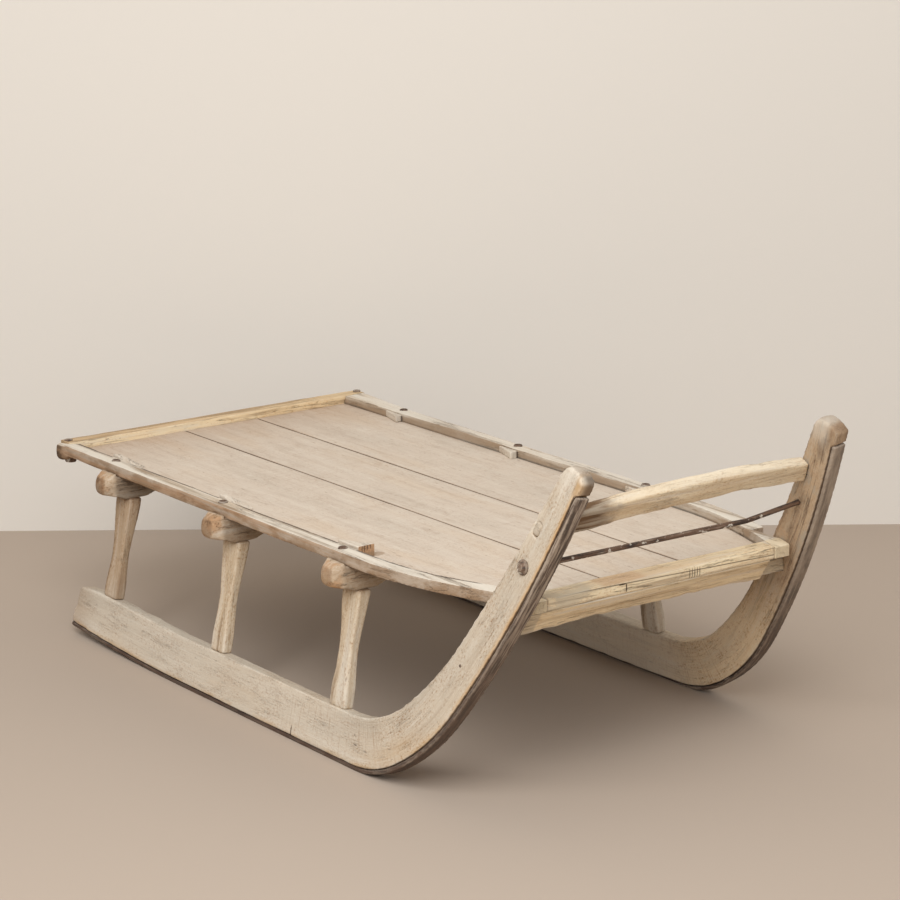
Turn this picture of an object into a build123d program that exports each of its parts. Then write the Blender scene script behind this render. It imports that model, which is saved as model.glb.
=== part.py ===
from build123d import *
import os
from math import cos, radians, sin, tan

# Horse drawn sleigh, a low working sledge.
# +X is forward, towards the upturned horns. +Y is the sleigh's left. +Z is up.
# The origin is on the floor, at the centre of the sleigh's length and width.

# --- runners -------------------------------------------------------------
LEAN = 9.5                # the runner planks lean inboard, degrees
TRACK = 764.0             # between the runners' outer faces, at the floor
RUNNER_THICK = 28.0
SHOE_THICK = 8.0
SHOE_SETBACK = 1.0        # the shoe is narrower than the plank by this on each side
# The shoes are square to the leaning planks, and worn flat where they stand on the floor.
RUNNER_TOP = 92.0         # height of the plank's top edge, along the plank
SOLE_REAR = -250.0        # the straight sole starts here
SOLE_FRONT = 277.0        # and ends here
ROCKER_RADIUS = 5300.0    # the sole behind it lifts gently
ROCKER_SWEEP = 4.7
TOP_FRONT = 252.7         # where the plank's top edge starts to bend up
TOP_REAR = -300.0
HEEL_TOP = (-600.0, 103.0)
HEEL_END = (-668.0, 100.0)
HEEL_ROUND = 20.0
TIP_REACH = 24.0          # bare wood beyond the shoe's upper end
TIP_CROWN = (752.0, 621.0)

# bends of the plank's lower edge, which the shoe follows: radius, sweep in degrees
LOWER_BENDS = ((237.0, 30.3), (451.0, 23.7), (1992.0, 13.6))
# bends of its upper edge
UPPER_BENDS = ((239.0, 38.65), (627.0, 17.8), (4374.0, 4.8))

# --- posts ---------------------------------------------------------------
# foot x, top x, of each pair of posts; the bolster is centred on its own x
POSTS = ((-562.0, -546.0, -550.0), (-175.0, -165.0, -170.0), (212.0, 215.0, 211.0))
POST_FOOT = (38.0, 20.0)      # along the runner, across it
POST_HEAD = (50.0, 24.0)
TENON_FOOT = (24.0, 12.0, 32.0)   # along, across, deep
TENON_HEAD = (28.0, 12.0, 26.0)
TENON_ROOT = 14.0             # a tenon starts this far inside its own piece
POST_OVERRUN = 14.0           # posts are drawn past their seats, then cut to them
PIN_CLEARANCE = 0.1           # round a peg, bolt or rod in its hole

# --- levels ------------------------------------------------------------
POST_TOP = 298.0          # underside of the bolsters at the posts
HEAD_RISE = 8.0           # their heads' underside is this much higher
ARCH_RISE = 11.0          # and the middle of their arch this much
DECK_TOP = 349.0
DECK_THICK = 16.0
RAIL_PROUD = 16.0         # the rim of rails stands this far above the deck
RAIL_THICK = 20.0
HEAD_PROUD = 2.0          # the bolsters' heads stand this far above the deck
HEAD_BOTTOM = POST_TOP + HEAD_RISE
ARCH_CROWN = POST_TOP + ARCH_RISE
DECK_SEAT = DECK_TOP - DECK_THICK
RAIL_TOP = DECK_TOP + RAIL_PROUD
RAIL_SEAT = RAIL_TOP - RAIL_THICK
HEAD_TOP = DECK_TOP + HEAD_PROUD

# --- deck and the rim of rails round it -----------------------------------
RAIL_WIDTH = 32.0
RAIL_INSET = 30.0         # the rails' outer faces, inside the runners' outer faces
RAIL_REAR = -770.0
RAIL_FRONT = 648.0
RAIL_GAP = 1.5            # between a side rail and the board beside it
FLARE = {-1: 0.0, 1: 18.0}    # a side rail is wider by this at its rear end
FLARE_FRONT = -590.0      # and tapers to its usual width here
# where a rail's inward bow starts, its radius and sweep, and the ease back after it
RAIL_BOWS = {-1: (250.0, 760.0, 22.5, 200.0, 22.5), 1: (300.0, 850.0, 21.0, 400.0, 1.0)}
BOARD_SEAMS = (-68.0, 103.0)
SEAM_GAP = 3.0
BOARD_SETBACK = 6.0       # of the boards' rear ends from the rear rail's rear face
REAR_RAIL_WIDTH = 32.0
REAR_RAIL_PROUD = 8.0     # it stands this far behind the side rails' ends
REAR_RAIL_REACH = {-1: -18.0, 1: 18.0}    # and this far past their outer faces
REAR_HOUSING = 2.0        # the boards are let this far into the rear rail
REAR_LAP = 10.0           # its ends lap this deep over the side rails
FRONT_RAIL_WIDTH = 42.0
FRONT_RAIL_PROUD = 2.0    # it stands this far above the side rails
FRONT_RAIL_REACH = {-1: 262.0, 1: 275.0}
HORN_REAR = 540.0         # ahead of here a side rail is shaved to clear the horn
RAIL_OUTER = TRACK / 2 - RAIL_INSET
RAIL_INNER = RAIL_OUTER - RAIL_WIDTH
RAIL_MIDDLE = (RAIL_OUTER + RAIL_INNER) / 2
BOARD_EDGE = RAIL_INNER - RAIL_GAP
REAR_RAIL = (RAIL_REAR - REAR_RAIL_PROUD, RAIL_REAR - REAR_RAIL_PROUD + REAR_RAIL_WIDTH)
BOARD_REAR = REAR_RAIL[0] + BOARD_SETBACK
REAR_SEAT = DECK_TOP - REAR_HOUSING
LAP_LEVEL = RAIL_TOP - REAR_LAP
FRONT_RAIL = (RAIL_FRONT - FRONT_RAIL_WIDTH, RAIL_FRONT)
FRONT_RAIL_TOP = RAIL_TOP + FRONT_RAIL_PROUD

# --- bolsters ------------------------------------------------------------
BOLSTER_WIDTH = 52.0      # along the sleigh
HEAD_LENGTH = 24.0        # of the rounded head, outboard of its step
STEP_GAP = 4.0            # between a side rail and the head's step
ARCH_SETBACK = 26.5       # the arch starts this far inboard of the deck's edge
ARCH_RUN = 30.0           # and reaches its height in this length
HEAD_CORNERS = (24.0, 9.0)    # its corners' radii seen from above, at the rear and the front
HEAD_EDGES = (5.0, 18.0)      # and seen from the front, at the bottom and the top
HEAD_NECK = RAIL_OUTER + STEP_GAP
HEAD_END = HEAD_NECK + HEAD_LENGTH
ARCH_START = BOARD_EDGE - ARCH_SETBACK
ARCH_END = ARCH_START - ARCH_RUN

# --- front crossbeam -------------------------------------------------------
BEAM_SETBACK = 3.0        # behind the front rail's front face
BEAM_DEPTH = 71.0         # from front to rear
BEAM_SLOPE = 27.0         # the front face slopes back by this at the bottom
BEAM_BOTTOM = 303.0
BEAM_RISE = 6.0           # of its arched underside
BEAM_SHOULDERS = {-1: 10.0, 1: 57.0}  # full section up to here, inside each horn
STUB_WIDTH = 35.0
STUB_RISE = 1.0
BEAM_TENON = 14.0
BEAM_FRONT = RAIL_FRONT - BEAM_SETBACK
BEAM_REAR = BEAM_FRONT - BEAM_DEPTH
BEAM_TOE = BEAM_FRONT - BEAM_SLOPE
STUB_BOTTOM = BEAM_BOTTOM + STUB_RISE

# --- top crossbar ----------------------------------------------------------
BAR_X = 689.0
BAR_TILT = 65.0           # the bar's height follows the slope of the horns
BAR_HEIGHT = 40.0
BAR_THICK = 24.0
BAR_ENDS = {-1: 499.5, 1: 507.5}  # height of the bar's centre at the right and left horn
BAR_CROWN = 514.5
BAR_TENON = (24.0, 14.0)      # along the horn, across it

# --- ironwork and pegs -------------------------------------------------------
ROD_X = 665.0
ROD_RADIUS = 4.5
ROD_ENDS = {-1: 435.0, 1: 443.0}  # height where it passes through each horn
# its bends: which side, how far inside that horn, and the height
ROD_BENDS = ((-1, 35.0, 433.0), (1, 119.0, 430.0), (1, 17.0, 441.0))
ROD_WASHER = (13.0, 3.0)  # radius, thickness
ROD_HEAD = (9.0, 6.0)
HEAD_TAPER = 25.0
PEG_RADIUS = 8.0
PEG_LENGTH = 42.0         # below the rail's top
PEG_PROUD = 2.0
PEG_INSET = {-1: 19.0, 1: 10.0}   # of the pegs' axes from the side rails' outer faces
PEG_SETBACK = 16.0        # of their axes from the bolsters' middles
CHOCK_LENGTH = 62.0
CHOCK_WIDTH = {-1: 34.0, 1: 18.0}
CHOCK_HEIGHT = {-1: 22.0, 1: 14.0}
CHOCK_FRONT = 12.0        # a chock's front end, ahead of the bolster's middle
BOLT_RADIUS = 4.0
BOLT_HEAD = (8.0, 3.0)    # radius, thickness
BOLT_NUT = (7.0, 10.0)
BOLT_INSET = 8.0          # of a corner bolt's axis from the rear rail's end

os.makedirs("parts", exist_ok=True)

# The sides of the sleigh, and the sign of y on each.
SIDES = {"right": -1, "left": 1}

SIN = sin(radians(LEAN))
COS = cos(radians(LEAN))
TAN = tan(radians(LEAN))


def plank_face(side, inward=0.0):
    """A plank's outer face, or a plane inward of it. Its y runs up the plank times -side."""
    return Plane(origin=(0, side * (TRACK / 2 - inward * COS), -inward * SIN), x_dir=(1, 0, 0),
                 z_dir=(0, side * COS, SIN))


def plank_section(along, up):
    """A plane across the right plank's middle, looking up the plank."""
    half = RUNNER_THICK / 2
    return Plane(origin=(along, half * COS + up * SIN - TRACK / 2, up * COS - half * SIN),
                 x_dir=(1, 0, 0), z_dir=(0, SIN, COS))


def inner_face(height):
    """Distance of a runner's inner face from the sleigh's middle, at a height."""
    return TRACK / 2 - RUNNER_THICK / COS - height * TAN


def lower_edge(drop):
    """The plank's lower edge, or the line a given distance below it."""
    level = SHOE_THICK - drop
    rocker = JernArc(start=(SOLE_REAR, level), tangent=(-1, 0), radius=ROCKER_RADIUS + drop,
                     arc_size=-ROCKER_SWEEP)
    lower = Line((SOLE_REAR, level), (SOLE_FRONT, level))
    for radius, turn in LOWER_BENDS:
        lower = JernArc(start=lower @ 1, tangent=lower % 1, radius=radius + drop, arc_size=turn)
    return rocker @ 1, lower @ 1, lower % 1


def rail_edge(side, inset, rear, flare=0.0):
    """A side rail's outer edge in plan, or the line a given distance inboard of it."""
    start, radius, turn, ease_radius, ease_turn = RAIL_BOWS[side]
    outer = RAIL_OUTER - inset
    flared = Line((rear, outer + flare), (FLARE_FRONT, outer))
    straight = Line(flared @ 1, (start, outer))
    bow = JernArc(start=straight @ 1, tangent=(1, 0), radius=radius - inset, arc_size=-turn)
    ease = JernArc(start=bow @ 1, tangent=bow % 1, radius=ease_radius + inset,
                   arc_size=ease_turn)
    reach = (RAIL_FRONT - (ease @ 1).X) / (ease % 1).X
    front = Line(ease @ 1, (ease @ 1) + (ease % 1) * reach)
    return flared @ 0, front @ 1


def peg_axis(side, centre, height):
    """The place of a peg's axis at a height; centre is its bolster's middle."""
    return (centre - PEG_SETBACK, side * (RAIL_OUTER - PEG_INSET[side]), height)


def bolt_axis(side, height):
    """The place of a corner bolt's axis at a height."""
    return (sum(REAR_RAIL) / 2, side * (RAIL_OUTER + REAR_RAIL_REACH[side] - BOLT_INSET), height)


def plan(side, height):
    """A level plane whose y points out to one side of the sleigh."""
    return Plane(origin=(0, 0, height), x_dir=(1, 0, 0), z_dir=(0, 0, side))


# --- runner plank, before its joints are cut -----------------------------------
with BuildPart() as plank:
    with BuildSketch(plank_face(-1)):
        with BuildLine():
            heel, shoe_end, heading = lower_edge(0)
            upper = Line((TOP_REAR, RUNNER_TOP), (TOP_FRONT, RUNNER_TOP))
            for radius, turn in UPPER_BENDS:
                upper = JernArc(start=upper @ 1, tangent=upper % 1, radius=radius, arc_size=turn)
            nose = Line(shoe_end, shoe_end + heading * TIP_REACH)
            ThreePointArc(nose @ 1, TIP_CROWN, upper @ 1)
            Polyline((TOP_REAR, RUNNER_TOP), HEEL_TOP, HEEL_END, heel)
        make_face()
    extrude(amount=-RUNNER_THICK)
    heel_edges = plank.edges().filter_by(Axis((0, 0, 0), (0, COS, -SIN)))
    heel_corner = plank_face(-1).from_local_coords(HEEL_END)
    fillet(heel_edges.sort_by_distance(heel_corner)[0], HEEL_ROUND)

# --- iron shoe under the runner, up to the horn's tip ---------------------------
with BuildPart() as shoe_right:
    with BuildSketch(plank_face(-1, SHOE_SETBACK)):
        with BuildLine():
            seat_rear, seat_front, heading = lower_edge(0)
            tread_rear, tread_front, heading = lower_edge(SHOE_THICK)
            Line(seat_rear, tread_rear)
            Line(seat_front, tread_front)
        make_face()
    extrude(amount=-(RUNNER_THICK - 2 * SHOE_SETBACK))
    split(bisect_by=Plane.XY, keep=Keep.TOP)
with BuildPart() as shoe_left:
    mirror(shoe_right.part, about=Plane.XZ)

# --- posts, mortised into the runners and the bolsters ---------------------------
posts = {}
head_level = (POST_TOP + RUNNER_THICK / 2 * SIN) / COS
for number, (foot, top, _) in enumerate(POSTS, 1):
    with BuildPart() as post:
        with BuildSketch(plank_section(foot, RUNNER_TOP - POST_OVERRUN)):
            Rectangle(*POST_FOOT)
        with BuildSketch(plank_section(top, head_level + POST_OVERRUN)):
            Rectangle(*POST_HEAD)
        loft(ruled=True)
        add(plank.part, mode=Mode.SUBTRACT)
        split(bisect_by=Plane.XY.offset(POST_TOP), keep=Keep.BOTTOM)
        with BuildSketch(plank_section(foot, RUNNER_TOP - TENON_FOOT[2])):
            Rectangle(*TENON_FOOT[:2])
        extrude(amount=TENON_FOOT[2] + TENON_ROOT)
        with BuildSketch(plank_section(top, head_level - TENON_ROOT)):
            Rectangle(*TENON_HEAD[:2])
        extrude(amount=TENON_HEAD[2] + TENON_ROOT)
    posts["post_right_%d" % number] = post.part
    with BuildPart() as post:
        mirror(posts["post_right_%d" % number], about=Plane.XZ)
    posts["post_left_%d" % number] = post.part

# --- top crossbar, bowed up, with a tenon through each horn ----------------------
slope = radians(BAR_TILT)
bar_foot = BAR_X - BAR_ENDS[1] / tan(slope)
bar_face = Plane(origin=(bar_foot, 0, 0), x_dir=(0, 1, 0), z_dir=(sin(slope), 0, -cos(slope)))
with BuildPart() as top_crossbar:
    with BuildSketch(bar_face):
        with BuildLine():
            edges = []
            for shift in (-BAR_HEIGHT / 2, BAR_HEIGHT / 2):
                right, left = ((side * inner_face(height + shift * sin(slope)),
                                height / sin(slope) + shift) for side, height in BAR_ENDS.items())
                edges.append(ThreePointArc(right, (0, BAR_CROWN / sin(slope) + shift), left))
            Line(edges[0] @ 0, edges[1] @ 0)
            Line(edges[0] @ 1, edges[1] @ 1)
        make_face()
    extrude(amount=BAR_THICK / 2, both=True)
    for side, height in BAR_ENDS.items():
        root = Plane(origin=(bar_foot + height / tan(slope),
                             side * (inner_face(height) - TENON_ROOT), height),
                     x_dir=(cos(slope), 0, sin(slope)), z_dir=(0, side, 0))
        with BuildSketch(root):
            Rectangle(*BAR_TENON)
        extrude(amount=TENON_ROOT + 2 * RUNNER_THICK)
    for side in SIDES.values():
        split(bisect_by=plank_face(side), keep=Keep.BOTTOM)

# --- front crossbeam, arched below, with a stub into each horn ---------------------
horn_gap = inner_face(DECK_SEAT)
shoulders = {side: side * (horn_gap - inset) for side, inset in BEAM_SHOULDERS.items()}
with BuildPart() as front_crossbeam:
    with BuildSketch(Plane.YZ.offset(BEAM_REAR)):
        with BuildLine():
            arch = ThreePointArc((shoulders[-1], BEAM_BOTTOM),
                                 (sum(shoulders.values()) / 2, BEAM_BOTTOM + BEAM_RISE),
                                 (shoulders[1], BEAM_BOTTOM))
            Polyline(arch @ 1, (shoulders[1], RAIL_SEAT), (shoulders[-1], RAIL_SEAT), arch @ 0)
        make_face()
    extrude(amount=BEAM_FRONT - BEAM_REAR)
    with BuildSketch(Plane.XZ):
        Polygon((BEAM_REAR, BEAM_BOTTOM), (BEAM_TOE, BEAM_BOTTOM), (BEAM_FRONT, RAIL_SEAT),
                (FRONT_RAIL[0], RAIL_SEAT), (FRONT_RAIL[0], DECK_SEAT), (BEAM_REAR, DECK_SEAT),
                align=None)
    extrude(amount=TRACK / 2, both=True, mode=Mode.INTERSECT)
    for side, shoulder in shoulders.items():
        reach = inner_face(BEAM_BOTTOM) + BEAM_TENON
        with BuildSketch(Plane(origin=(0, shoulder - side * TENON_ROOT, 0), x_dir=(1, 0, 0),
                               z_dir=(0, side, 0))):
            with Locations((BEAM_REAR + STUB_WIDTH / 2, -side * (STUB_BOTTOM + DECK_SEAT) / 2)):
                Rectangle(STUB_WIDTH, DECK_SEAT - STUB_BOTTOM)
        extrude(amount=reach - abs(shoulder) + TENON_ROOT)

# --- bolsters, with a rounded head outboard of each side rail -----------------------
bolsters = {}
for number, (_, _, centre) in enumerate(POSTS, 1):
    with BuildPart() as bolster:
        with BuildSketch(Plane.YZ.offset(centre - BOLSTER_WIDTH / 2)):
            half = [(ARCH_END, ARCH_CROWN), (ARCH_START, POST_TOP), (RAIL_MIDDLE, POST_TOP),
                    (HEAD_NECK, HEAD_BOTTOM), (HEAD_END, HEAD_BOTTOM), (HEAD_END, HEAD_TOP),
                    (HEAD_NECK, HEAD_TOP), (HEAD_NECK, RAIL_SEAT), (BOARD_EDGE, RAIL_SEAT),
                    (BOARD_EDGE, DECK_SEAT)]
            Polygon(*half, *((-y, z) for y, z in reversed(half)), align=None)
        extrude(amount=BOLSTER_WIDTH)
        with BuildSketch(Plane.XY.offset(ARCH_CROWN)) as outline:
            with Locations((centre, 0)):
                Rectangle(BOLSTER_WIDTH, 2 * HEAD_END)
            for corners, radius in zip((0, -1), HEAD_CORNERS):
                fillet(outline.vertices().filter_by(
                    lambda v: abs(v.Y) > HEAD_NECK).group_by(Axis.X)[corners], radius)
        extrude(amount=RAIL_TOP, both=True, mode=Mode.INTERSECT)
        with BuildSketch(Plane.YZ.offset(centre)) as profile:
            with Locations((0, (HEAD_TOP + HEAD_BOTTOM) / 2)):
                Rectangle(2 * HEAD_END, HEAD_TOP - HEAD_BOTTOM)
            for edge, radius in zip((0, -1), HEAD_EDGES):
                fillet(profile.vertices().group_by(Axis.Y)[edge], radius)
            Rectangle(2 * HEAD_NECK, 2 * RAIL_TOP)
        extrude(amount=BOLSTER_WIDTH, both=True, mode=Mode.INTERSECT)
        for side in SIDES:
            add(posts["post_%s_%d" % (side, number)], mode=Mode.SUBTRACT)
            with Locations(peg_axis(SIDES[side], centre, RAIL_TOP - PEG_LENGTH)):
                Cylinder(PEG_RADIUS + PIN_CLEARANCE, PEG_LENGTH, mode=Mode.SUBTRACT,
                         align=(Align.CENTER, Align.CENTER, Align.MIN))
    bolsters["bolster_%d" % number] = bolster.part

# --- rear rail, its ends lapped over the side rails ---------------------------------
with BuildPart() as rear_rail:
    for overhang, bottom in ((REAR_RAIL_REACH, LAP_LEVEL),
                             (dict.fromkeys(REAR_RAIL_REACH, -RAIL_WIDTH), REAR_SEAT)):
        right, left = (side * (RAIL_OUTER + past) for side, past in overhang.items())
        with BuildSketch(Plane.XY.offset(bottom)):
            Polygon((REAR_RAIL[0], right), (REAR_RAIL[1], right), (REAR_RAIL[1], left),
                    (REAR_RAIL[0], left), align=None)
        extrude(amount=RAIL_TOP - bottom)
    for side in SIDES.values():
        with Locations(bolt_axis(side, RAIL_SEAT)):
            Cylinder(BOLT_RADIUS + PIN_CLEARANCE, RAIL_THICK, mode=Mode.SUBTRACT,
                     align=(Align.CENTER, Align.CENTER, Align.MIN))

# --- the room each horn takes up beside the side rails --------------------------------
with BuildPart() as horn_room:
    with BuildSketch(plank_face(-1, RUNNER_THICK)):
        with Locations((RAIL_FRONT, RAIL_TOP)):
            Rectangle(2 * (RAIL_FRONT - HORN_REAR), RAIL_TOP)
    extrude(amount=2 * RUNNER_THICK)
    mirror(about=Plane.XZ)

# --- side rails, bowing inboard to pass inside the horns --------------------------------
side_rails = {}
for name, side in SIDES.items():
    with BuildPart() as side_rail:
        with BuildSketch(plan(side, RAIL_SEAT)):
            with BuildLine():
                outer_rear, outer_front = rail_edge(side, 0, RAIL_REAR, FLARE[side])
                inner_rear, inner_front = rail_edge(side, RAIL_WIDTH, RAIL_REAR)
                Line(outer_rear, inner_rear)
                Line(outer_front, inner_front)
            make_face()
        extrude(amount=side * RAIL_THICK)
        add(rear_rail.part, mode=Mode.SUBTRACT)
        add(horn_room.part, mode=Mode.SUBTRACT)
        with Locations(bolt_axis(side, RAIL_SEAT)):
            Cylinder(BOLT_RADIUS + PIN_CLEARANCE, RAIL_THICK, mode=Mode.SUBTRACT,
                     align=(Align.CENTER, Align.CENTER, Align.MIN))
        for _, _, centre in POSTS:
            with Locations(peg_axis(side, centre, RAIL_SEAT)):
                Cylinder(PEG_RADIUS + PIN_CLEARANCE, RAIL_THICK, mode=Mode.SUBTRACT,
                         align=(Align.CENTER, Align.CENTER, Align.MIN))
    side_rails["side_rail_" + name] = side_rail.part

# --- front rail, between the side rails' front ends ---------------------------------------
with BuildPart() as front_rail:
    with BuildSketch(Plane.XY.offset(RAIL_SEAT)):
        Polygon(*((x, side * reach) for side, reach in FRONT_RAIL_REACH.items()
                  for x in FRONT_RAIL[::-side]), align=None)
    extrude(amount=FRONT_RAIL_TOP - RAIL_SEAT)
    for name, side in SIDES.items():
        with BuildSketch(plan(side, RAIL_SEAT)):
            with BuildLine():
                inner_rear, inner_front = rail_edge(side, RAIL_WIDTH, RAIL_REAR)
                Polyline(inner_rear, (RAIL_REAR, TRACK), (RAIL_FRONT, TRACK), inner_front)
            make_face()
        extrude(amount=side * RAIL_THICK * 2, mode=Mode.SUBTRACT)

# --- deck boards ---------------------------------------------------------------------------
boards = {}
for name, side, seam in (("right", -1, -BOARD_SEAMS[0]), ("left", 1, BOARD_SEAMS[1])):
    with BuildPart() as board:
        with BuildSketch(plan(side, DECK_SEAT)):
            with BuildLine():
                outer_rear, outer_front = rail_edge(side, RAIL_WIDTH + RAIL_GAP, BOARD_REAR)
                near = seam + SEAM_GAP / 2
                Polyline(outer_rear, (BOARD_REAR, near), (RAIL_FRONT, near), outer_front)
            make_face()
            with Locations(((FRONT_RAIL[0] + BOARD_REAR) / 2, 0)):
                Rectangle(FRONT_RAIL[0] - BOARD_REAR, TRACK, mode=Mode.INTERSECT)
        extrude(amount=side * DECK_THICK)
        add(rear_rail.part, mode=Mode.SUBTRACT)
    boards["deck_board_" + name] = board.part
with BuildPart() as board:
    with BuildSketch(Plane.XY.offset(DECK_SEAT)):
        with Locations(((FRONT_RAIL[0] + BOARD_REAR) / 2, sum(BOARD_SEAMS) / 2)):
            Rectangle(FRONT_RAIL[0] - BOARD_REAR, BOARD_SEAMS[1] - BOARD_SEAMS[0] - SEAM_GAP)
    extrude(amount=DECK_THICK)
    add(rear_rail.part, mode=Mode.SUBTRACT)
boards["deck_board_middle"] = board.part

# --- pegs through the rails, and the chocks beside them ---------------------------------------
small = {}
for name, side in SIDES.items():
    for number, (_, _, centre) in enumerate(POSTS, 1):
        with BuildPart() as peg:
            with Locations(peg_axis(side, centre, RAIL_TOP - PEG_LENGTH)):
                Cylinder(PEG_RADIUS, PEG_LENGTH + PEG_PROUD,
                         align=(Align.CENTER, Align.CENTER, Align.MIN))
        small["peg_%s_%d" % (name, number)] = peg.part
        with BuildPart() as chock:
            front = centre + CHOCK_FRONT
            with BuildSketch(plan(side, DECK_TOP)):
                Polygon((front, RAIL_INNER), (front - CHOCK_LENGTH, RAIL_INNER),
                        (front, RAIL_INNER - CHOCK_WIDTH[side]), align=None)
            extrude(amount=side * CHOCK_HEIGHT[side])
        small["chock_%s_%d" % (name, number)] = chock.part
    with BuildPart() as bolt:
        with Locations(bolt_axis(side, RAIL_TOP)):
            Cylinder(*BOLT_HEAD, align=(Align.CENTER, Align.CENTER, Align.MIN))
            Cylinder(BOLT_RADIUS, RAIL_THICK, align=(Align.CENTER, Align.CENTER, Align.MAX))
        with Locations(bolt_axis(side, RAIL_SEAT)):
            Cylinder(*BOLT_NUT, align=(Align.CENTER, Align.CENTER, Align.MAX))
    small["corner_bolt_" + name] = bolt.part

# --- iron tie rod between the horns ------------------------------------------------------------
with BuildPart() as tie_rod:
    ends = {side: side * (TRACK / 2 - height * TAN) for side, height in ROD_ENDS.items()}
    with BuildLine() as rod_line:
        Polyline((ROD_X, ends[-1], ROD_ENDS[-1]), (ROD_X, -inner_face(ROD_ENDS[-1]), ROD_ENDS[-1]),
                 *((ROD_X, side * (inner_face(height) - inset), height)
                   for side, inset, height in ROD_BENDS),
                 (ROD_X, inner_face(ROD_ENDS[1]), ROD_ENDS[1]), (ROD_X, ends[1], ROD_ENDS[1]))
    with BuildSketch(Plane(origin=rod_line.line @ 0, z_dir=rod_line.line % 0)):
        Circle(ROD_RADIUS)
    sweep(transition=Transition.ROUND)
    for side, height in ROD_ENDS.items():
        with BuildSketch(plank_face(side)):
            with Locations((ROD_X, -side * height / COS)):
                Circle(ROD_WASHER[0])
        extrude(amount=ROD_WASHER[1])
        with BuildSketch(plank_face(side, -ROD_WASHER[1])):
            with Locations((ROD_X, -side * height / COS)):
                Circle(ROD_HEAD[0])
        extrude(amount=ROD_HEAD[1], taper=HEAD_TAPER)

# --- runners: the plank with its mortises and the rod's hole cut ----------------------------------
runners = {}
for name, side in SIDES.items():
    with BuildPart() as runner:
        if side < 0:
            add(plank.part)
        else:
            mirror(plank.part, about=Plane.XZ)
        for number in range(1, len(POSTS) + 1):
            add(posts["post_%s_%d" % (name, number)], mode=Mode.SUBTRACT)
        add(top_crossbar.part, mode=Mode.SUBTRACT)
        add(front_crossbeam.part, mode=Mode.SUBTRACT)
        with Locations(Location((ROD_X, 0, ROD_ENDS[side]), (90, 0, 0))):
            Cylinder(ROD_RADIUS + PIN_CLEARANCE, 2 * TRACK, mode=Mode.SUBTRACT)
    runners["runner_" + name] = runner.part

pieces = {**runners, "shoe_right": shoe_right.part, "shoe_left": shoe_left.part, **posts,
          **bolsters, **boards, **side_rails, "rear_rail": rear_rail.part,
          "front_rail": front_rail.part, "front_crossbeam": front_crossbeam.part,
          "top_crossbar": top_crossbar.part, "tie_rod": tie_rod.part, **small}
for name, piece in pieces.items():
    piece.label = name
    export_step(piece, "parts/%s.step" % name)
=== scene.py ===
"""A low wooden working sleigh: weathered planks, posts and boards, with rusted iron."""

from math import copysign, cos, pi, radians, sin

import bmesh
import bpy
from bpy.props import FloatProperty, FloatVectorProperty, PointerProperty
from mathutils import Matrix, Vector, noise


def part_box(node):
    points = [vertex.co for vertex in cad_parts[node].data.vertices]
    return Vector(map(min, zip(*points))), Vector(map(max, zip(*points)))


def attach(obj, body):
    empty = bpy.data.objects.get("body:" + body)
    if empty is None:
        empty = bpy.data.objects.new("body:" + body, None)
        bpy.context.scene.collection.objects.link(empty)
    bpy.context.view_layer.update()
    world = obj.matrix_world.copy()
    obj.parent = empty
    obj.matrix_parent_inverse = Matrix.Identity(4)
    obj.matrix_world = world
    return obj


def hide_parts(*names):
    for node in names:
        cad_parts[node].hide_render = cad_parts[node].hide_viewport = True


bl_info = {
    "name": "Working Sleigh",
    "version": (1, 0, 0),
    "blender": (4, 5, 0),
    "location": "View3D > Sidebar > Sleigh",
    "description": "Builds a low horse drawn working sleigh of weathered wood and iron",
    "category": "Object",
}

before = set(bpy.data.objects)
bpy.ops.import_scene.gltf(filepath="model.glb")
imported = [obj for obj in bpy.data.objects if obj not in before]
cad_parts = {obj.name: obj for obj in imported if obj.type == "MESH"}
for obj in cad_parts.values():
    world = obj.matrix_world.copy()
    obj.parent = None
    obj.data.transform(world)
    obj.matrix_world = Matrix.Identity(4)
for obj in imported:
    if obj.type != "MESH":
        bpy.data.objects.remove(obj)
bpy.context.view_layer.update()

SIDES = {"right": -1, "left": 1}
LEAN = radians(9.5)       # of the runners, inboard
HALF_TRACK = 0.382        # from the middle to the runners' outer faces, at the floor
MERGE = 1e-5              # points closer than this are one
FLAT = radians(0.3)       # faces within this angle of each other are one
CORNER = radians(35)      # outward corners sharper than this are rounded
CREASE = radians(50)      # and edges sharper than this are shaded sharp
COARSE, FINE, TINY = 0.003, 0.0024, 0.0014    # sizes of the carved faces


def a_length(label, words, default, top):
    return FloatProperty(name=label, description=words, default=default, min=0.0, max=top,
                         subtype="DISTANCE", unit="LENGTH", precision=4)


def a_colour(label, words, *screen):
    """A colour, with its default given as it looks on a screen, 0 to 255."""
    light = [(c / 255 / 12.92) if c < 10.3 else ((c / 255 + 0.055) / 1.055) ** 2.4
             for c in screen]
    return FloatVectorProperty(name=label, description=words, default=light, size=3,
                               min=0.0, max=1.0, subtype="COLOR")


class SleighWear(bpy.types.PropertyGroup):
    """How far the timber and iron are worn."""
    edge: a_length("Edge wear", "Rounding of the timbers' corners", 0.0035, 0.01)
    post_edge: a_length("Post edge wear", "Rounding of the posts' corners", 0.0055, 0.01)
    board_edge: a_length("Board edge wear", "Rounding of the boards' corners", 0.0012, 0.005)
    iron_edge: a_length("Iron edge wear", "Rounding of the iron's corners", 0.0015, 0.004)
    sway: a_length("Sway", "Slow unevenness along the timbers", 0.0014, 0.01)
    ridge: a_length("Raised grain", "Height of the weathered grain", 0.0005, 0.003)
    rag: a_length("Waney edge", "Unevenness of the beams' lower edges", 0.003, 0.02)
    waist: a_length("Post waist", "How far a post is hollowed on each side", 0.0053, 0.01)
    pitting: a_length("Pitting", "Unevenness of the forged iron", 0.0006, 0.005)


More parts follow.
